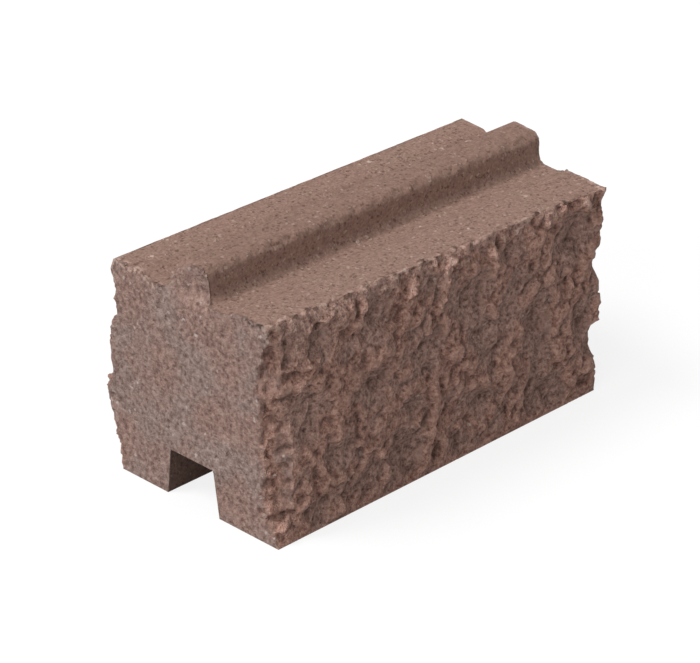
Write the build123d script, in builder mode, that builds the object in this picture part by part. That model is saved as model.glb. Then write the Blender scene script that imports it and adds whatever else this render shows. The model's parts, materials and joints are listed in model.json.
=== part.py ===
"""Concrete fence block with a tongue on top and a groove underneath, both long faces split rough.

Millimetres. +Z is up, X runs along the block and Y across it, with the photographed face towards -Y.
The origin is the centre of the block's footprint on the ground.
"""

import math
import os
import random

from build123d import *

# Body
length = 250.0  # along the longer split face
depth = 128.0  # over the crests of the two split faces
height = 125.0  # one course, from the bearing face to the top of the shoulders
end_taper = 4.0  # degrees each end leans in from square, so that blocks can be laid in a curve

# Tongue on top, with a shallow trough on each side of it
tongue_width = 23.5  # across the flat top
tongue_height = 13.5  # above the shoulders
tongue_draft = 2.0  # degrees from upright
tongue_round = 5.0  # radius along the top edges
trough_depth = 3.4  # below the shoulders
trough_width = 14.5  # from the tongue's foot to the trough's outer edge
trough_slope = 27.0  # degrees that the trough's outer side rises at
trough_round = 5.0  # radius at the tongue's foot

# Groove underneath
groove_width = 38.0  # at the mouth
groove_depth = 27.5
groove_draft = 7.0  # degrees from upright
groove_round = 2.0  # radius along the ceiling's corners

# Split faces: how far the break lies in from the crests, hollows aside
front_top_near = 9.0  # along the front's top edge, at the near end
front_top_far = 0.5  # and at the far end
front_brow = 1.5
front_belly = 1.5
front_bottom = 2.7
back_top = 12.0
back_brow = 10.0
back_belly = 0.8
back_bottom = 10.5
brow_drop = 9.0  # from the top edge down to the brow, above which the edge is broken back
belly_height = 45.0  # where the faces stand out most

# Facets and hollows of the breaks
facet_width = 5.0  # spacing of the facets' corners along the block
facet_height = 7.0  # and up it
facet_jitter = 1.6  # how far a corner may stray along the face
facet_rough = 1.7  # and into it or out of it
front_edge_rough = 0.9  # and along the front's top edge
back_edge_rough = 0.2  # and along the back's, which is nearly straight
hollow_spacing = 27.0  # between the hollows of the back
hollow_stray = 9.0  # how far they may lie off that spacing
hollow_size = 13.0  # their half width
hollow_depth = 4.0
hollow_spread = 0.35  # share that their size and depth vary by
straight_edge = 8.0  # height over which the hollows run out to the bottom edge

# The front's hollows: along the block, above the ground, half width, half height, depth
front_hollows = [
    (121, 80, 12, 10, 9.0),
    (119, 32, 14, 14, 8.0),
    (103, 49, 11, 11, 5.0),
    (96, 103, 19, 16, 6.5),
    (75, 14, 20, 15, 6.0),
    (68, 58, 12, 24, 6.0),
    (55, 89, 11, 10, 4.5),
    (46, 74, 9, 14, 4.5),
    (45, 111, 10, 9, 4.0),
    (34, 56, 10, 9, 4.5),
    (29, 29, 12, 11, 4.5),
    (26, 71, 14, 9, 4.5),
    (20, 93, 18, 17, 6.0),
    (10, 106, 10, 9, 4.5),
    (9, 10, 10, 9, 4.0),
    (-11, 73, 12, 14, 6.0),
    (-11, 111, 11, 9, 4.5),
    (-26, 47, 10, 8, 4.0),
    (-28, 21, 14, 20, 6.0),
    (-47, 108, 13, 13, 6.5),
    (-50, 70, 13, 12, 5.0),
    (-52, 14, 11, 11, 4.5),
    (-67, 17, 10, 9, 4.0),
    (-71, 37, 12, 10, 4.5),
    (-87, 108, 12, 11, 5.5),
    (-90, 12, 13, 10, 4.5),
    (-95, 71, 14, 17, 5.5),
    (-111, 110, 14, 15, 6.0),
    (-118, 58, 13, 85, 9.0),  # the corner at the near end, broken away over most of its height
]

half_length = length / 2
half_depth = depth / 2
tongue_top = height + tongue_height
trough_floor = height - trough_depth
tongue_foot = tongue_width / 2 + (tongue_top - trough_floor) * math.tan(math.radians(tongue_draft))
trough_edge = tongue_foot + trough_width
shoulder_start = trough_edge + trough_depth / math.tan(math.radians(trough_slope))
groove_mouth = groove_width / 2
groove_ceiling = groove_mouth - groove_depth * math.tan(math.radians(groove_draft))
end_lean = depth * math.tan(math.radians(end_taper))
rough_stock = half_depth + facet_height  # the section is drawn this wide, and the two breaks cut it down
level = 0.01  # corners this close in height count as one level


def between(start, end, share):
    return start + (end - start) * share


def lie(x, z, top_near, top_far, brow, belly, bottom):
    """Distance of a break from its crests, hollows aside: widest at the belly, drawn in above and below."""
    brow_height = height - brow_drop
    if z > brow_height:
        top = between(top_near, top_far, x / length + 0.5)
        return between(brow, top, (z - brow_height) / brow_drop)
    if z > belly_height:
        return between(belly, brow, (z - belly_height) / (brow_height - belly_height))
    return between(bottom, belly, z / belly_height)


def scattered_hollows(dice):
    """Small hollows all over a long face, strayed off an even spacing."""
    columns = math.ceil(length / hollow_spacing)
    rows = math.ceil(height / hollow_spacing)
    smallest, largest = 1 - hollow_spread, 1 + hollow_spread
    return [
        (
            (column + 0.5) * length / columns - half_length + dice.uniform(-hollow_stray, hollow_stray),
            (row + 0.5) * height / rows + dice.uniform(-hollow_stray, hollow_stray),
            hollow_size * dice.uniform(smallest, largest),
            hollow_size * dice.uniform(smallest, largest),
            hollow_depth * dice.uniform(smallest, largest),
        )
        for column in range(columns)
        for row in range(rows)
    ]


def deepest_hollow(x, z, hollows):
    """How deep the hollows go at one place. They run out towards the top and bottom edges."""
    scoops = [
        sink * (1 - ((x - centre) / wide) ** 2 - ((z - middle) / high) ** 2)
        for centre, middle, wide, high, sink in hollows
    ]
    run_out = min(z / straight_edge, (height - z) / brow_drop, 1)
    return max(0, *scoops) * max(run_out, 0)


def spall(side, lies, hollows, edge_rough, dice):
    """The waste that breaks away from one long face: facets inside, flat walls and a flat face outside."""
    columns = math.ceil(length / facet_width)
    rows = math.ceil(height / facet_height)

    def corner(column, row):
        x = column * length / columns - half_length
        z = row * height / rows
        rough = 0
        if 0 <= column <= columns and 0 < row <= rows:
            x += dice.uniform(-facet_jitter, facet_jitter)
            if row < rows:
                z += dice.uniform(-facet_jitter, facet_jitter)
                rough = dice.uniform(-facet_rough, facet_rough)
            else:
                rough = dice.uniform(-edge_rough, edge_rough)
        inset = lie(x, z, *lies) + deepest_hollow(x, z, hollows) + rough
        return Vector(x, side * (half_depth - max(inset, 0)), z)

    net = [[corner(column, row) for row in range(-1, rows + 2)] for column in range(-1, columns + 2)]
    outlines = []
    for left, right in zip(net, net[1:]):
        for low_left, high_left, low_right, high_right in zip(left, left[1:], right, right[1:]):
            outlines.append([low_left, low_right, high_right])
            outlines.append([low_left, high_right, high_left])

    def pulled_out(point):
        return Vector(point.X, side * (rough_stock + facet_height), point.Z)

    rims = [net[0], net[-1], [line[0] for line in net], [line[-1] for line in net]]
    outlines += [[*rim, pulled_out(rim[-1]), pulled_out(rim[0])] for rim in rims]
    outlines.append([pulled_out(point) for point in (net[0][0], net[0][-1], net[-1][-1], net[-1][0])])
    return Solid(Shell([Face(Wire.make_polygon(outline)) for outline in outlines]))


front_dice = random.Random(5)
front_lies = (front_top_near, front_top_far, front_brow, front_belly, front_bottom)
front_spall = spall(-1, front_lies, front_hollows, front_edge_rough, front_dice)

back_dice = random.Random(11)
back_lies = (back_top, back_top, back_brow, back_belly, back_bottom)
back_spall = spall(1, back_lies, scattered_hollows(back_dice), back_edge_rough, back_dice)


def corners_at(sketch, z):
    """A section's corners at one height."""
    return sketch.vertices().filter_by_position(Axis.Y, z - level, z + level)


with BuildPart() as block:
    # Half of the section, from the tongue's top round to the groove's ceiling, then the other half.
    with BuildSketch(Plane.YZ.offset(-half_length)) as section:
        with BuildLine():
            Polyline(
                (0, tongue_top),
                (tongue_width / 2, tongue_top),
                (tongue_foot, trough_floor),
                (trough_edge, trough_floor),
                (shoulder_start, height),
                (rough_stock, height),
                (rough_stock, 0),
                (groove_mouth, 0),
                (groove_ceiling, groove_depth),
                (0, groove_depth),
                close=True,
            )
        make_face()
        mirror(about=Plane.YZ)
        fillet(corners_at(section, tongue_top), tongue_round)
        tongue_feet = corners_at(section, trough_floor).sort_by(lambda corner: abs(corner.X))[:2]
        fillet(tongue_feet, trough_round)
        fillet(corners_at(section, groove_depth), groove_round)
    extrude(amount=length)

    # Both ends lean in towards the front.
    with BuildSketch(Plane.XY) as plan:
        with BuildLine():
            Polyline(
                (-half_length, half_depth),
                (half_length, half_depth),
                (half_length - end_lean, -half_depth),
                (-half_length + end_lean, -half_depth),
                close=True,
            )
        make_face()
    extrude(amount=tongue_top, mode=Mode.INTERSECT)

    # The two long faces are broken, not moulded.
    add([front_spall, back_spall], mode=Mode.SUBTRACT)

block.part.label = "fence_block"

os.makedirs("parts", exist_ok=True)
export_step(block.part, "parts/fence_block.step")
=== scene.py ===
"""Looks of the concrete fence block: its relief, its concrete, the studio and the camera.

Blender works in metres. Sizes here are in millimetres, and MM turns them to metres.
X runs along the block, below 0 towards the near end. Y runs across it, below 0 towards the photographed face.
"""

import json
import math
from functools import partial

import bmesh
import bpy
import numpy as np
from mathutils import Matrix, Vector, noise


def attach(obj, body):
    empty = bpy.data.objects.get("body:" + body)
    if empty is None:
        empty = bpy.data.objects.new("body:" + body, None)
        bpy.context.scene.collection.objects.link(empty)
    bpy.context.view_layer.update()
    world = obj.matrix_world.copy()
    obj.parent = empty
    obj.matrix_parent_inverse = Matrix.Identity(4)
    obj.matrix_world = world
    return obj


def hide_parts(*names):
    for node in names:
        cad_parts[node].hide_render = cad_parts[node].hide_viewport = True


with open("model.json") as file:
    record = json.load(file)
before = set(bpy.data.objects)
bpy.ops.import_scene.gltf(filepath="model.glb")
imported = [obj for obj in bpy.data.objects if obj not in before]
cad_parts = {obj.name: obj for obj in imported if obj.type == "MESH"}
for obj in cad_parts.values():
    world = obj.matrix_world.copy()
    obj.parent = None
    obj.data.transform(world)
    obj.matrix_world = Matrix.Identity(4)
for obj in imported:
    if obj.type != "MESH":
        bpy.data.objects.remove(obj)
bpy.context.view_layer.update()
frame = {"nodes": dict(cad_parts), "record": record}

MM = 0.001
MOUNTS = {mount["name"]: mount for mount in frame["record"]["mounts"]}

# Camera, fitted to the block's straight edges in the photograph
VIEW_TURN = 42.46  # degrees, from straight onto the split face round towards the near end
VIEW_TILT = 28.76  # degrees, looking down
VIEW_ROLL = 0.58  # degrees
VIEW_SENSOR = 36.0  # width
VIEW_LENS = 137.5
VIEW_TARGET = (-7.83, 2.43, 58.64)
VIEW_DISTANCE = 1418.3

# Lamps: name, strength, degrees that it is wide, and the way towards it
LAMPS = [
    ("key", 1.8, 24, (-0.45, 0.27, 0.85)),  # high behind on the left
    ("side", 0.97, 36, (-0.87, -0.22, 0.44)),  # lower, past the near end, so that it grazes the split face
]
ROOM_STRENGTH = 0.40  # of the white room as light. Seen directly it is 1, which shows white.
PAPER_REACH = 6000.0  # of the floor, each way
PAPER_GLOW = 0.82  # that makes the lit floor show white

# Even mesh that carries the relief
GRID = 1.44  # spacing of its corners
GRID_DEPTH = 8  # halvings of the grid's box that give that spacing
JOINED = 0.25  # corners nearer than this share of the spacing become one
SLIT_ROUNDS = 2  # of clearing away what closed slits leave
STRAY = 0.8  # share of the spacing that a corner may stray from its neighbours
STRAY_ROUNDS = 4  # of drawing such corners back
FOOT = 0.6  # height up to which corners stay put, so that the bottom edges are straight
ARRIS_ANGLE = 48  # degrees, from which an edge is shaded as an arris

# Rounds of averaging: what stands out from the average of so many is one of these
PIT_ROUNDS = 4  # a pit or a crest between grains
ARRIS_ROUNDS = 10  # an arris
BROW_ROUNDS = 36  # the brow of the photographed face
NORMAL_ROUNDS = 2  # and so many even out the directions that corners are moved in

# Crests of a split face, which its hollows are measured from
CREST_BAND = 6.0  # height of the bands that they are found in
CREST_PERCENT = 92  # of a band that lies behind them
ON_SPLIT = 0.9  # share of split finish from which a corner counts

# Layers of relief, each ending with the number of the noise that it is made from
NOISE_SHIFT = 11.7  # sets one number's noise apart from the next
FOLDS = [(2.4, 10, 1)]  # lumps of a split face: height and size
BITS = [(1.2, 5.2, 2), (0.9, 3.0, 4)]  # lumps on its folds
LARGE_CHIPS = (0.5, 8, 2)  # flat chips on its folds: slope and size
SMALL_CHIPS = (0.45, 4.5, 4)
STRUCK_LUMPS = [(0.25, 6, 5), (0.3, 3.0, 6)]  # on the ends
STRUCK_PITS = (1.0, 9, 1.9, 7)  # depth, spacing and radius
PRESSED_LUMPS = [(0.12, 3.2, 8), (0.1, 9.0, 9)]  # on the top and the underside
CRUMB_LUMPS = [(1.2, 6.5, 15)]  # along the front's top edge
CRUMB_GRAINS = (1.3, 4.2, 16)  # height and size
CRUMB_PITS = (3.0, 8, 2.6, 17)
UPRIGHT_LUMPS = [(1.0, 6.5, 19), (1.4, 3.6, 24)]  # along the near end's upright edges
UPRIGHT_GRAINS = (1.4, 5, 20)
HOLLOW_LUMPS = [(2.2, 11, 13), (1.0, 5, 14)]  # make the rims of hollows uneven
BREAK_LUMPS = [(0.6, 5.0, 11), (0.4, 2.8, 12)]  # on what is broken off at the near end
JAGGED_LUMPS = [(3.6, 8, 25), (2.8, 4.2, 26)]  # on the near front edge
RIM_LUMPS = [(0.35, 3.2, 27)]  # share that the ends' finish wanders by over their rims

# Shapes of a grain and a pit
GRAIN_FALL = 1.3  # of a grain's height, lost one size away from its middle
PIT_SHARE = 0.6  # usual radius of a pit, as a share of the one stated
PIT_SPREAD = 1.2  # how much that share varies
PIT_PATCH = 1.5  # spacings over which it does
PIT_SMALLEST = 0.05  # the share stays between these two
PIT_LARGEST = 1.2
SPOT_RIM = 0.3  # share of a painted spot's radius that it fades over, inwards and outwards

# Folds of a split face
FOLD_SHAPE = (1, 1, 0.7)  # taller than wide
FOLD_SWAY = 3.0  # how far they wind
FOLD_SWAY_SIZE = 9.0
FOLD_SWAY_NOISE = (21, 22, 23)
HOLLOW_FOLDS_LOST = 0.4  # share of the folds that a hollow lacks
HOLLOW_BITS_LOST = 0.85  # and of the chips and bits

# Ranges: an effect is nil at the first value and full at the second
END_FACING = (0.45, 0.85)  # cosine to an end's outward axis
SPLIT_FACING = (0.35, 0.75)  # cosine to the way across
SPLIT_OUT = (-4, 0)  # from the middle of a shoulder outwards
ARRIS_STAND = (0.2, 0.9)  # standing out
HOLLOW_DEPTH = (0.4, 2.8)  # behind the crests
HOLLOW_ALONG = (-114, -102)  # the near corner is no hollow, though it lies far back
BOTTOM_RELIEF = (0.5, 9)  # relief runs out to the bottom edges

# Crumbling top edge of the photographed face, worse towards the near end
BROW_STAND = (0.6, 2.2)
BROW_HEIGHT = (100, 118)
CRUMB_SUNK = 0.8  # the edge lies this much lower, lumps and grains aside
CRUMB_PIT_HEIGHT = (98, 108)
CRUMB_PIT_ALONG = (-30, -80)

# Upright edges of the near end
UPRIGHT_ALONG = (-102, -112)
UPRIGHT_HEIGHT = (122, 112)
UPRIGHT_SUNK = 0.8  # likewise

# Top edge of the back, which is straight
BACK_EDGE_OUT = (40, 46)
BACK_EDGE_HEIGHT = (112, 120)

# Outer side of the troughs beside the tongue, worn round
TROUGH_DEPTH = 3.4
TROUGH_FOOT = 26.8  # from the block's middle
TROUGH_EDGE = 33.5
TROUGH_WEAR = 4.5  # either side of the two edges
TROUGH_SAMPLES = 9  # that the wear is averaged over
TROUGH_HEIGHT = (118, 120)
TROUGH_OUT = (14, 20)

# Near end: the tongue's end stands back from the block's
TONGUE_BACK = 4.0  # this far in the middle
TONGUE_SKEW = 0.13  # and this much more for each millimetre towards the front
TONGUE_ROUGH = 1.5  # times the roughness of a break
TONGUE_DRAWN = 30.0  # stretch of the tongue that is drawn back with it
TONGUE_HEIGHT = (116, 126)
TONGUE_OUT = (18, 13)

# What is broken off there: a point of each break, and the way that it faces
TONGUE_CORNER = (-116.4, -0.6, 138.5), (-0.46, 0.42, 0.78)
SHOULDER_ARRIS = (-122.6, 30.0, 122.6), (-0.75, -0.05, 0.66)
FRONT_EDGE = (-117.0, -50.0, 60.0), (-0.62, -0.78, 0.0)

# Bounds of those breaks
NEAR_TOP_ALONG = -85
NEAR_TOP_HEIGHT = 115
CORNER_HEIGHT = 122
CORNER_OUT = 18
SHOULDER_FROM = 13
SHOULDER_ROUGH = 2.0  # times the roughness of a break
SHOULDER_WHOLE = 4.0  # less broken off towards the back
SHOULDER_WHOLE_OUT = (42, 50)
FRONT_EDGE_ALONG = -90
FRONT_EDGE_OUT = -40
WHOLE_AT_FOOT = 12.0  # less broken off the front edge at its foot
WHOLE_FOOT_HEIGHT = (16, 0)
WHOLE_AT_TOP = 6.0  # and near its top
WHOLE_TOP_HEIGHT = (104, 119)

# Shares that the concrete reads
RAGGED_DEPTH = (0.3, 1.5)  # broken off the front edge
RAGGED_SPLIT = 0.55  # share of the split finish that it then has
CHIPPED_DEPTH = (0.2, 1.2)  # broken off the back shoulder's arris, which then looks like an end
END_RIM = (0.3, 0.7)  # share of struck end over which its finish sets in
RELIEF_STAND = (0.1, 0.8)  # of a crest, and of a pit the other way
TORN_STAND = (0.15, 0.9)
TORN_HEIGHT = (108, 118)
TORN_FRONT = (-40, -44)
TORN_BACK = 1.2  # times as torn, at the near end of the back shoulder
TORN_BACK_ALONG = (-116, -118)
TORN_BACK_OUT = (14, 18)
RUBBED_HEIGHT = (128, 137)  # of the tongue
GROOVE_OUT = (24, 20)
GROOVE_HEIGHT = (34, 30)

# Sockets of a Mix node that mixes colours
SHARE, FROM, TO, MIXED = 0, 6, 7, 2


def linear(hex_colour):
    """An sRGB hex colour as linear RGBA."""
    channels = [int(hex_colour[i:i + 2], 16) / 255 for i in (1, 3, 5)]
    return [c / 12.92 if c <= 0.04045 else ((c + 0.055) / 1.055) ** 2.4 for c in channels] + [1.0]


def node(tree, kind, sockets=(), out=0, **settings):
    """Adds a node and gives its output. A socket is linked where its value is another node's output."""
    made = tree.nodes.new(kind)
    for name, value in settings.items():
        setattr(made, name, value)
    for socket, value in dict(sockets).items():
        if isinstance(value, bpy.types.NodeSocket):
            tree.links.new(value, made.inputs[socket])
        else:
            made.inputs[socket].default_value = value
    return made.outputs[out]


def step(low, high, values):
    """0 up to low, 1 from high, and a smooth rise between."""
    share = np.clip((values - low) / (high - low), 0, 1)
    return share * share * (3 - 2 * share)


def noise_places(points, size, number):
    """Where points lie in the noise of this number, drawn at this size."""
    return points / size + NOISE_SHIFT * number


def lumps(points, size, number):
    """Smooth noise from -1 to 1 with lumps about this many millimetres across."""
    return np.array([noise.noise(p) for p in noise_places(points, size, number).tolist()])


def heap(points, layers):
    """Layers of lumps on each other, each with its height, its size and the number of its noise."""
    return sum(height * lumps(points, size, number) for height, size, number in layers)


def chips(points, slope, size, number):
    """Flat chips of this size, each tilted its own way by up to this slope."""
    places = noise_places(points, size, number)
    middles = np.array([noise.voronoi(p)[1][0] for p in places.tolist()])
    apart = 97  # puts the middles of neighbouring chips into cells of their own
    tilts = np.array([noise.cell_vector(m) for m in (apart * middles).tolist()]) * 2 - 1
    return slope * size * np.sum((places - middles) * tilts, axis=1)


def to_middles(points, spacing, number):
    """How far points are from the nearest of scattered middles, in spacings of these."""
    return np.array([noise.voronoi(p)[0][0] for p in noise_places(points, spacing, number).tolist()])


def grains(points, height, size, number):
    """Packed grains of this size: full height at a grain's middle, about 0 where grains meet."""
    return height * (1 - GRAIN_FALL * to_middles(points, size, number))


def pits(points, depth, spacing, radius, number):
    """Small holes about this far apart, 0 from the rim outwards. Their sizes vary down to next to none."""
    away = spacing * to_middles(points, spacing, number)
    share = PIT_SHARE + PIT_SPREAD * lumps(points, PIT_PATCH * spacing, number)
    reach = radius * np.clip(share, PIT_SMALLEST, PIT_LARGEST)
    return depth * np.clip(1 - (away / reach) ** 2, 0, 1)


def close_slits(mesh):
    """Joins corners that lie close together, and closes folds that met at one edge on the even grid."""
    work = bmesh.new()
    work.from_mesh(mesh)
    bmesh.ops.remove_doubles(work, verts=work.verts, dist=JOINED * GRID * MM)
    bmesh.ops.collapse(work, edges=[edge for edge in work.edges if len(edge.link_faces) > 2])
    for _ in range(SLIT_ROUNDS):
        bmesh.ops.delete(work, geom=[edge for edge in work.edges if not edge.link_faces], context="EDGES")
        bmesh.ops.dissolve_verts(work, verts=[corner for corner in work.verts if len(corner.link_edges) == 2])
    work.to_mesh(mesh)
    work.free()


class Surface:
    """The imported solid's surface as an even mesh, with arrays of its corners in millimetres."""

    def __init__(self, source):
        draft = bpy.data.objects.new("draft", source.data.copy())
        bpy.context.scene.collection.objects.link(draft)
        even = draft.modifiers.new("even", "REMESH")
        even.mode = "SHARP"
        even.octree_depth = GRID_DEPTH
        even.scale = max(draft.dimensions) / MM / GRID / 2 ** GRID_DEPTH
        evaluated = draft.evaluated_get(bpy.context.evaluated_depsgraph_get())
        self.mesh = bpy.data.meshes.new_from_object(evaluated)
        bpy.data.objects.remove(draft)
        close_slits(self.mesh)
        pairs = np.empty(len(self.mesh.edges) * 2, np.int32)
        self.mesh.edges.foreach_get("vertices", pairs)
        self.pairs = pairs.reshape(-1, 2)
        self.points = self.read("co") / MM
        self.normals = self.spread(self.read("normal"), NORMAL_ROUNDS)
        self.normals /= np.linalg.norm(self.normals, axis=1)[:, None]

    def read(self, what):
        values = np.empty(len(self.mesh.vertices) * 3, np.float32)
        self.mesh.vertices.foreach_get(what, values)
        return values.reshape(-1, 3).astype(float)

    def spread(self, values, rounds):
        """Replaces each corner's values by its neighbours' average, a number of rounds."""
        first, second = self.pairs.T
        size = len(values)
        neighbours = np.bincount(first, minlength=size) + np.bincount(second, minlength=size)
        columns = values.reshape(size, -1).T
        for _ in range(rounds):
            columns = [
                (np.bincount(first, c[second], size) + np.bincount(second, c[first], size)) / neighbours
                for c in columns
            ]
        return np.array(columns).T.reshape(values.shape)

    def standing_out(self, rounds):
        """How far each corner stands out from its surroundings: above 0 on an arris, below 0 in a pit."""
        return np.sum((self.points - self.spread(self.points, rounds)) * self.normals, axis=1)

    def calm(self):
        """Draws back corners that stray from their neighbours."""
        for _ in range(STRAY_ROUNDS):
            middle = self.spread(self.points, 1)
            stray = np.linalg.norm(self.points - middle, axis=1) > STRAY * GRID
            self.points = np.where(stray[:, None], middle, self.points)

    def move(self, amount):
        """Moves each corner out by this much."""
        self.points = self.points + self.normals * amount[:, None]

    def break_off(self, plane, rough, where):
        """Breaks off what lies past a rough plane, and gives how deep that went at each corner."""
        place, facing = np.array(plane)
        past = (self.points - place) @ facing - rough
        past = np.where(where, np.maximum(past, 0), 0)
        self.points = self.points - past[:, None] * facing
        return past

    def keep(self, name, values):
        """Keeps a value for each corner, for the concrete to read."""
        layer = self.mesh.attributes.new(name, "FLOAT", "POINT")
        layer.data.foreach_set("value", np.clip(values, 0, 1).astype(np.float32))

    def write(self):
        """Puts the corners back into the mesh, as triangles."""
        self.mesh.vertices.foreach_set("co", (self.points * MM).astype(np.float32).ravel())
        work = bmesh.new()
        work.from_mesh(self.mesh)
        bmesh.ops.triangulate(work, faces=work.faces)
        work.to_mesh(self.mesh)
        work.free()


def finishes(surface):
    """Shares of struck end, split face and pressed skin at each corner."""
    towards_ends = [surface.normals @ np.array(MOUNTS[name]["axis"]) for name in ("end_near", "end_far")]
    end = step(*END_FACING, np.maximum(*towards_ends))
    shoulder = abs(MOUNTS["shoulder_back"]["pos_m"][1]) / MM
    out = np.abs(surface.points[:, 1]) - shoulder
    split = step(*SPLIT_FACING, np.abs(surface.normals[:, 1])) * step(*SPLIT_OUT, out) * (1 - end)
    return end, split, 1 - np.maximum(split, end)


def sunk(points, on_face):
    """How far the corners of one split face lie behind its crests at the same height."""
    bands = np.round(points[:, 2] / CREST_BAND).astype(int)
    heights = np.unique(bands[on_face])
    out = np.abs(points[:, 1])
    crests = [np.percentile(out[on_face & (bands == band)], CREST_PERCENT) for band in heights]
    return np.interp(points[:, 2], heights * CREST_BAND, crests) - out


def hollows(points, split):
    """Share of hollow at each corner. Hollows of the break are smoother and greyer than its ridges."""
    front = points[:, 1] < 0
    counted = split > ON_SPLIT
    depth = np.where(front, sunk(points, counted & front), sunk(points, counted & ~front))
    hollow = step(*HOLLOW_DEPTH, depth + heap(points, HOLLOW_LUMPS)) * split
    return hollow * step(*HOLLOW_ALONG, points[:, 0])


def break_relief(surface, hollow):
    """Relief of a split face: winding folds with flat chips and bits on them, calmer in the hollows."""
    tall = surface.points * FOLD_SHAPE
    sway = np.column_stack([lumps(tall, FOLD_SWAY_SIZE, number) for number in FOLD_SWAY_NOISE])
    tall = tall + FOLD_SWAY * sway
    chipped = chips(tall, *LARGE_CHIPS) + chips(surface.points, *SMALL_CHIPS)
    fine = surface.spread(chipped, 1) + heap(tall, BITS)
    return heap(tall, FOLDS) * (1 - HOLLOW_FOLDS_LOST * hollow) + fine * (1 - HOLLOW_BITS_LOST * hollow)


def crumbling_edges(surface, end, split):
    """Relief that crumbling adds along the front's top edge and the near end's upright edges."""
    points = surface.points
    x, y, z = points.T
    front = y < 0
    brow = step(*BROW_STAND, surface.standing_out(BROW_ROUNDS)) * front * step(*BROW_HEIGHT, z) * (1 - end)
    crumbs = CRUMB_SUNK + heap(points, CRUMB_LUMPS) - grains(points, *CRUMB_GRAINS)
    near_front = step(*CRUMB_PIT_ALONG, x) * step(*CRUMB_PIT_HEIGHT, z) * front * split
    upright = split * step(*UPRIGHT_ALONG, x) * step(*UPRIGHT_HEIGHT, z)
    ragged = heap(points, UPRIGHT_LUMPS) + grains(points, *UPRIGHT_GRAINS) - UPRIGHT_SUNK
    return upright * ragged - brow * crumbs - pits(points, *CRUMB_PITS) * near_front


def trough(away):
    """Height of the trough beside the tongue, against the shoulders, this far from the block's middle."""
    return -TROUGH_DEPTH * (1 - np.clip((away - TROUGH_FOOT) / (TROUGH_EDGE - TROUGH_FOOT), 0, 1))


def wear_troughs(surface, whole, skin):
    """Wears the outer edges of the troughs round. The corners' places before any wear are whole."""
    away = np.abs(whole[:, 1])
    around = np.linspace(-TROUGH_WEAR, TROUGH_WEAR, TROUGH_SAMPLES)
    worn = np.mean([trough(away + near) for near in around], axis=0)
    in_trough = skin * step(*TROUGH_HEIGHT, whole[:, 2]) * step(*TROUGH_OUT, away)
    surface.points[:, 2] += (worn - trough(away)) * in_trough


def damage_near_end(surface, whole):
    """Draws the tongue's end back, and breaks off its corner, the back shoulder's arris and the front edge.

    Gives how deep the arris and the front edge were broken. The corners' places before any wear are whole.
    """
    x, y, z = whole.T
    rough = heap(whole, BREAK_LUMPS)
    outward = np.array(MOUNTS["end_near"]["axis"])
    inside = (np.array(MOUNTS["end_near"]["pos_m"]) / MM - whole) @ outward
    back = TONGUE_BACK - TONGUE_SKEW * y + TONGUE_ROUGH * rough
    drawn = back * step(*TONGUE_HEIGHT, z) * step(*TONGUE_OUT, np.abs(y))
    drawn *= np.clip(1 - inside / TONGUE_DRAWN, 0, 1)
    surface.points = surface.points - drawn[:, None] * outward

    near_top = (x < NEAR_TOP_ALONG) & (z > NEAR_TOP_HEIGHT)
    corner = near_top & (np.abs(y) < CORNER_OUT) & (z > CORNER_HEIGHT)
    surface.break_off(TONGUE_CORNER, rough, corner)
    shoulder_rough = SHOULDER_ROUGH * rough + SHOULDER_WHOLE * step(*SHOULDER_WHOLE_OUT, y)
    chipped = surface.break_off(SHOULDER_ARRIS, shoulder_rough, near_top & (y > SHOULDER_FROM))
    lasting = WHOLE_AT_FOOT * step(*WHOLE_FOOT_HEIGHT, z) + WHOLE_AT_TOP * step(*WHOLE_TOP_HEIGHT, z)
    jagged = heap(whole, JAGGED_LUMPS) + rough + lasting
    ragged = surface.break_off(FRONT_EDGE, jagged, (x < FRONT_EDGE_ALONG) & (y < FRONT_EDGE_OUT))
    return chipped, ragged


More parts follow.
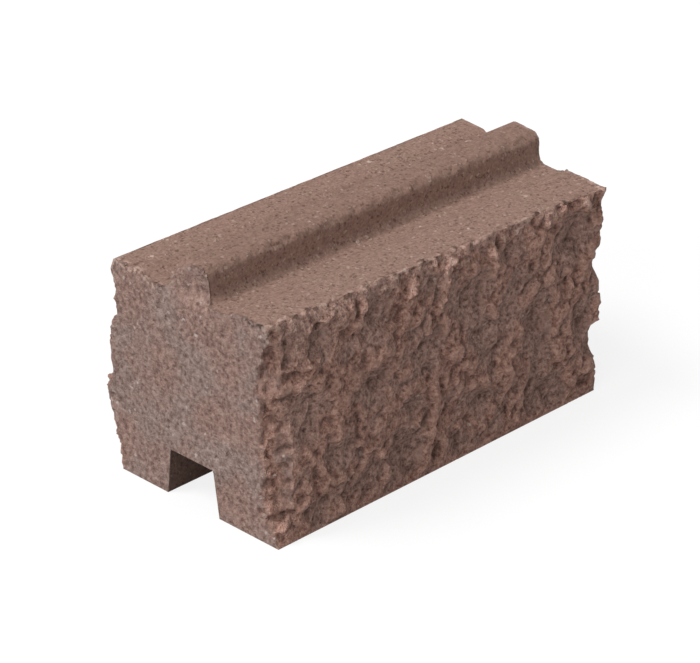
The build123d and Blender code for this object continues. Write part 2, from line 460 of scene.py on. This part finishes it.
def carve(surface):
    """Gives each face the relief that its making left, and the wear of its edges."""
    whole = surface.points
    x, y, z = whole.T
    end, split, skin = finishes(surface)
    hollow = hollows(whole, split)
    arris = step(*ARRIS_STAND, surface.standing_out(ARRIS_ROUNDS))
    struck = heap(whole, STRUCK_LUMPS) - pits(whole, *STRUCK_PITS)
    pressed = heap(whole, PRESSED_LUMPS)
    relief = split * break_relief(surface, hollow) + (end * struck + skin * pressed) * (1 - arris)
    relief += crumbling_edges(surface, end, split)
    back_edge = step(*BACK_EDGE_OUT, y) * step(*BACK_EDGE_HEIGHT, z)
    surface.move(relief * (1 - back_edge) * step(*BOTTOM_RELIEF, z))
    wear_troughs(surface, whole, skin)
    chipped, ragged = damage_near_end(surface, whole)
    surface.calm()
    surface.points = np.where((z < FOOT)[:, None], whole, surface.points)
    surface.points[:, 2] = np.maximum(surface.points[:, 2], 0)

    stand = surface.standing_out(PIT_ROUNDS)
    ended = np.maximum(end, step(*CHIPPED_DEPTH, chipped))
    brow_painted_light_and_shade = step(*TORN_FRONT, y) + TORN_BACK * step(*TORN_BACK_ALONG, x) * step(*TORN_BACK_OUT, y)
    brow_painted_light_and_shade *= step(*TORN_STAND, surface.standing_out(ARRIS_ROUNDS)) * step(*TORN_HEIGHT, z)
    surface.keep("hollow", hollow)
    # for the concrete: painted shade, with some dust, in the pits and a painted highlight on the crests
    surface.keep("pit", step(*RELIEF_STAND, -stand))
    surface.keep("crest", step(*RELIEF_STAND, stand) * split)
    surface.keep("split", np.maximum(split, RAGGED_SPLIT * step(*RAGGED_DEPTH, ragged)))
    surface.keep("end", step(*END_RIM, ended + heap(whole, RIM_LUMPS)))
    # for the concrete: the torn brow, with painted highlights on its crumbs and painted shade in its holes
    surface.keep("brow", brow_painted_light_and_shade)
    surface.keep("tongue", skin * step(*RUBBED_HEIGHT, z))
    # for the concrete: painted shade inside the groove
    surface.keep("groove", skin * step(*GROOVE_OUT, np.abs(y)) * step(*GROOVE_HEIGHT, z))
    surface.write()


def per(size):
    """A texture's scale for a pattern that repeats at about this many millimetres."""
    return 1 / (size * MM)


def spots(add, place, spacing, share, radius):
    """1 inside spots and 0 between them. A share of the places has one, and the radius is in spacings."""
    cell = {"Vector": place, "Scale": per(spacing)}
    away = add("ShaderNodeTexVoronoi", cell, out="Distance")
    chance = add("ShaderNodeSeparateColor", {"Color": add("ShaderNodeTexVoronoi", cell, out="Color")})
    outer, inner = radius * (1 + SPOT_RIM), radius * (1 - SPOT_RIM)
    inside = add("ShaderNodeMapRange", {"Value": away, "From Min": outer, "From Max": inner})
    picked = add("ShaderNodeMath", {0: chance, 1: 1 - share}, operation="GREATER_THAN")
    return add("ShaderNodeMath", {0: inside, 1: picked}, operation="MULTIPLY")


def concrete():
    """Red-brown concrete, one mix with three finishes.

    The top is pressed, which closes its skin to fine tan sand. The ends are struck against a mould wall and
    keep open, greyish grains. The long faces are split, so coarse pinkish crumbs stand round smoother, greyer
    hollows. All of it is matt, as rough cement is.
    """
    made = bpy.data.materials.new("red_brown_concrete")
    made.use_nodes = True
    tree = made.node_tree
    tree.nodes.clear()
    add = partial(node, tree)
    mix = {"kind": "ShaderNodeMix", "out": MIXED, "data_type": "RGBA"}
    times = {"kind": "ShaderNodeMath", "operation": "MULTIPLY"}
    times_plus = {"kind": "ShaderNodeMath", "operation": "MULTIPLY_ADD"}
    straight = add("ShaderNodeTexCoord", out="Object")
    hollow, pit, crest, split_share, end_share, groove, brow, tongue = (
        add("ShaderNodeAttribute", out="Fac", attribute_name=name)
        for name in ("hollow", "pit", "crest", "split", "end", "groove", "brow", "tongue")
    )

    # Grains are pushed about by up to about a millimetre, or they would lie as evenly as a honeycomb.
    # The noise strays about a quarter from its middle, so it is taken four millimetres strong.
    stray = add("ShaderNodeTexNoise", {"Vector": straight, "Scale": per(3.0)}, out="Color")
    stray = add("ShaderNodeVectorMath", {0: stray, 1: (0.5, 0.5, 0.5)}, operation="SUBTRACT")
    place = add("ShaderNodeVectorMath", {0: stray, 1: [4 * MM] * 3, 2: straight}, operation="MULTIPLY_ADD")

    # Pressed top. Sand of half a millimetre would not show, so it is drawn at 1.3 mm.
    sand = add("ShaderNodeTexNoise", {"Vector": straight, "Scale": per(1.3), "Detail": 2})
    mottle = add("ShaderNodeTexNoise", {"Vector": straight, "Scale": per(3.2), "Detail": 2})
    cloud = add("ShaderNodeTexNoise", {"Vector": straight, "Scale": per(28), "Detail": 3})
    tan = add(sockets={SHARE: sand, FROM: linear("#6d5449"), TO: linear("#b79a8a")}, **mix)
    pink = add(sockets={SHARE: sand, FROM: linear("#6e5046"), TO: linear("#b79487")}, **mix)
    pressed = add(sockets={SHARE: cloud, FROM: tan, TO: pink}, **mix)
    shade = add("ShaderNodeMapRange", {"Value": mottle, "From Min": 0.45, "From Max": 0.7, "To Max": 0.42})
    pressed = add(sockets={SHARE: shade, FROM: pressed, TO: linear("#6d544a")}, **mix)
    pore = add(sockets={0: spots(add, place, spacing=2.1, share=0.3, radius=0.37), 1: 0.6}, **times)
    pressed = add(sockets={SHARE: pore, FROM: pressed, TO: linear("#4c382f")}, **mix)
    sandgrain = spots(add, place, spacing=2.6, share=0.18, radius=0.32)
    speck = add(sockets={0: sandgrain, 1: 0.4}, **times)
    pressed = add(sockets={SHARE: speck, FROM: pressed, TO: linear("#cfb6a8")}, **mix)
    grain = add(sockets={0: spots(add, place, spacing=6.0, share=0.05, radius=0.17), 1: 0.7}, **times)
    pressed = add(sockets={SHARE: grain, FROM: pressed, TO: linear("#d6c3b5")}, **mix)

    # The tongue's top is rubbed a little darker.
    rubbed = add(sockets={0: tongue, 1: 0.22}, **times)
    pressed = add(sockets={SHARE: rubbed, FROM: pressed, TO: linear("#6b5045")}, **mix)

    # Painted shade darkens the inside of the groove.
    groove_painted_shade = add(sockets={0: groove, 1: 0.6}, **times)
    pressed = add(sockets={SHARE: groove_painted_shade, FROM: pressed, TO: linear("#3d2b26")}, **mix)

    # Struck ends
    grit = add("ShaderNodeTexNoise", {"Vector": straight, "Scale": per(2.8), "Detail": 3, "Roughness": 0.65})
    grit_tone = add("ShaderNodeMapRange", {"Value": grit, "From Min": 0.3, "From Max": 0.7})
    grey = add(sockets={SHARE: grit_tone, FROM: linear("#6b554d"), TO: linear("#ab968e")}, **mix)
    pink = add(sockets={SHARE: grit_tone, FROM: linear("#6b5149"), TO: linear("#ad9085")}, **mix)
    patch = add("ShaderNodeMapRange", {"Value": cloud, "From Min": 0.4, "From Max": 0.6})
    struck = add(sockets={SHARE: patch, FROM: grey, TO: pink}, **mix)
    open_pore = add(sockets={0: spots(add, place, spacing=3.2, share=0.2, radius=0.25), 1: 0.55}, **times)
    struck = add(sockets={SHARE: open_pore, FROM: struck, TO: linear("#4a3933")}, **mix)
    grain = add(sockets={0: spots(add, place, spacing=4.0, share=0.12, radius=0.25), 1: 0.6}, **times)
    struck = add(sockets={SHARE: grain, FROM: struck, TO: linear("#cbbdb6")}, **mix)

    # Split faces
    crumb = add("ShaderNodeTexNoise", {"Vector": straight, "Scale": per(2.2), "Detail": 3, "Roughness": 0.7})
    crumb_tone = add("ShaderNodeMapRange", {"Value": crumb, "From Min": 0.3, "From Max": 0.7})
    ridge = add(sockets={SHARE: crumb_tone, FROM: linear("#6c493e"), TO: linear("#d6a998")}, **mix)
    smooth = add(sockets={SHARE: crumb_tone, FROM: linear("#624e46"), TO: linear("#b8a198")}, **mix)
    greyed = add(sockets={0: hollow, 1: 0.4}, **times)
    split = add(sockets={SHARE: greyed, FROM: ridge, TO: smooth}, **mix)
    hole = add(sockets={0: spots(add, place, spacing=4.5, share=0.15, radius=0.22), 1: 0.5}, **times)
    split = add(sockets={SHARE: hole, FROM: split, TO: linear("#3f2e28")}, **mix)
    grain = add(sockets={0: spots(add, place, spacing=6.5, share=0.08, radius=0.18), 1: 0.8}, **times)
    split = add(sockets={SHARE: grain, FROM: split, TO: linear("#d3c3b8")}, **mix)

    colour = add(sockets={SHARE: end_share, FROM: pressed, TO: struck}, **mix)
    colour = add(sockets={SHARE: split_share, FROM: colour, TO: split}, **mix)

    # Where the top breaks off, a painted highlight pales the crumbs and painted shade darkens the holes
    # beside them.
    crumbling = add("ShaderNodeTexNoise", {"Vector": straight, "Scale": per(3.4), "Detail": 2})
    brow_painted_highlight = add("ShaderNodeMapRange", {"Value": crumbling, "From Min": 0.53, "From Max": 0.6, "To Max": 0.6})
    brow_painted_highlight = add(sockets={0: brow_painted_highlight, 1: brow}, **times)
    colour = add(sockets={SHARE: brow_painted_highlight, FROM: colour, TO: linear("#ccb0a2")}, **mix)
    brow_painted_light_and_shade = add("ShaderNodeMapRange", {"Value": crumbling, "From Min": 0.45, "From Max": 0.38, "To Max": 0.8})
    brow_painted_light_and_shade = add(sockets={0: brow_painted_light_and_shade, 1: brow}, **times)
    colour = add(sockets={SHARE: brow_painted_light_and_shade, FROM: colour, TO: linear("#3a2a24")}, **mix)

    # Painted shade, with some dust, darkens the pits, and a painted highlight pales the crests.
    painted_pit_shade = add(sockets={0: pit, 1: 0.5}, **times)
    colour = add(sockets={SHARE: painted_pit_shade, FROM: colour, TO: linear("#33251f")}, **mix)
    painted_crest_highlight = add(sockets={0: crest, 1: 0.3}, **times)
    colour = add(sockets={SHARE: painted_crest_highlight, FROM: colour, TO: linear("#cfaa9b")}, **mix)

    # Heights in millimetres of the grain that the mesh is too coarse for
    height = add(sockets={0: sand, 1: 0.3}, **times)
    height = add(sockets={0: open_pore, 1: -0.25, 2: height}, **times_plus)
    height = add(sockets={0: sandgrain, 1: 0.25, 2: height}, **times_plus)
    grit_height = add(sockets={0: grit, 1: 1.3}, **times)
    height = add(sockets={0: end_share, 1: grit_height, 2: height}, **times_plus)
    crumb_height = add(sockets={0: crumb, 1: 2.5}, **times)
    height = add(sockets={0: split_share, 1: crumb_height, 2: height}, **times_plus)
    bump = add("ShaderNodeBump", {"Height": height, "Strength": 1.0, "Distance": MM})
    shader = add(
        "ShaderNodeBsdfPrincipled",
        {"Base Color": colour, "Normal": bump, "Roughness": 0.93, "IOR": 1.5, "Specular IOR Level": 0.25},
    )
    tree.links.new(shader, tree.nodes.new("ShaderNodeOutputMaterial").inputs["Surface"])
    return made


def block():
    surface = Surface(frame["nodes"]["fence_block"])
    carve(surface)
    surface.mesh.materials.clear()
    surface.mesh.materials.append(concrete())
    surface.mesh.shade_smooth()
    surface.mesh.set_sharp_from_angle(angle=math.radians(ARRIS_ANGLE))
    made = bpy.data.objects.new("split_block", surface.mesh)
    bpy.context.scene.collection.objects.link(made)
    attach(made, "root")
    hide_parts("fence_block")


def camera():
    turn, tilt, roll = (math.radians(angle) for angle in (VIEW_TURN, VIEW_TILT, VIEW_ROLL))
    ahead = Vector((math.cos(tilt) * math.sin(turn), math.cos(tilt) * math.cos(turn), -math.sin(tilt)))
    level = Vector((math.cos(turn), -math.sin(turn), 0))
    down = ahead.cross(level)
    right = math.cos(roll) * level + math.sin(roll) * down
    up = math.sin(roll) * level - math.cos(roll) * down
    made = bpy.data.objects.new("camera", bpy.data.cameras.new("camera"))
    made.data.sensor_width = VIEW_SENSOR
    made.data.lens = VIEW_LENS
    place = (Vector(VIEW_TARGET) - ahead * VIEW_DISTANCE) * MM
    made.matrix_world = Matrix.Translation(place) @ Matrix((right, up, -ahead)).transposed().to_4x4()
    bpy.context.scene.collection.objects.link(made)
    bpy.context.scene.camera = made


def seen_directly(tree):
    """1 for what the camera, a reflection or glass shows, and 0 for light that bounces about."""
    seen = node(tree, "ShaderNodeLightPath", out="Is Camera Ray")
    for name in ("Is Glossy Ray", "Is Transmission Ray"):
        ray = node(tree, "ShaderNodeLightPath", out=name)
        seen = node(tree, "ShaderNodeMath", {0: seen, 1: ray}, operation="MAXIMUM")
    return seen


def paper():
    """White paper, one seamless sheet. It is matt, so it shows an even white and the block's soft shadow."""
    made = bpy.data.materials.new("white_paper_sweep")
    made.use_nodes = True
    tree = made.node_tree
    tree.nodes.clear()
    seen = seen_directly(tree)
    tones = {SHARE: seen, FROM: linear("#b4b4b4"), TO: linear("#7c7c7c")}
    tone = node(tree, "ShaderNodeMix", tones, out=MIXED, data_type="RGBA")
    matt = node(tree, "ShaderNodeBsdfDiffuse", {"Color": tone})
    glow = node(tree, "ShaderNodeMath", {0: seen, 1: PAPER_GLOW}, operation="MULTIPLY")
    glowing = node(tree, "ShaderNodeEmission", {"Strength": glow})
    both = node(tree, "ShaderNodeAddShader", {0: matt, 1: glowing})
    tree.links.new(both, tree.nodes.new("ShaderNodeOutputMaterial").inputs["Surface"])
    return made


def floor():
    mesh = bpy.data.meshes.new("floor")
    reach = PAPER_REACH * MM
    corners = [(-reach, -reach, 0), (reach, -reach, 0), (reach, reach, 0), (-reach, reach, 0)]
    mesh.from_pydata(corners, [], [(0, 1, 2, 3)])
    mesh.materials.append(paper())
    sheet = bpy.data.objects.new("floor", mesh)
    bpy.context.scene.collection.objects.link(sheet)


def light():
    """Two soft lamps over an even white room."""
    world = bpy.data.worlds.new("white_room")
    bpy.context.scene.world = world
    world.use_nodes = True
    tree = world.node_tree
    tree.nodes.clear()
    seen = seen_directly(tree)
    strength = node(tree, "ShaderNodeMapRange", {"Value": seen, "To Min": ROOM_STRENGTH, "To Max": 1.0})
    room = node(tree, "ShaderNodeBackground", {"Color": linear("#ffffff"), "Strength": strength})
    tree.links.new(room, tree.nodes.new("ShaderNodeOutputWorld").inputs["Surface"])
    for name, energy, angle, towards in LAMPS:
        lamp = bpy.data.objects.new(name, bpy.data.lights.new(name, "SUN"))
        lamp.data.energy = energy
        lamp.data.angle = math.radians(angle)
        lamp.rotation_mode = "QUATERNION"
        lamp.rotation_quaternion = Vector(towards).to_track_quat("Z", "Y")
        bpy.context.scene.collection.objects.link(lamp)
    bpy.context.scene.view_settings.view_transform = "Standard"


block()
floor()
light()
camera()
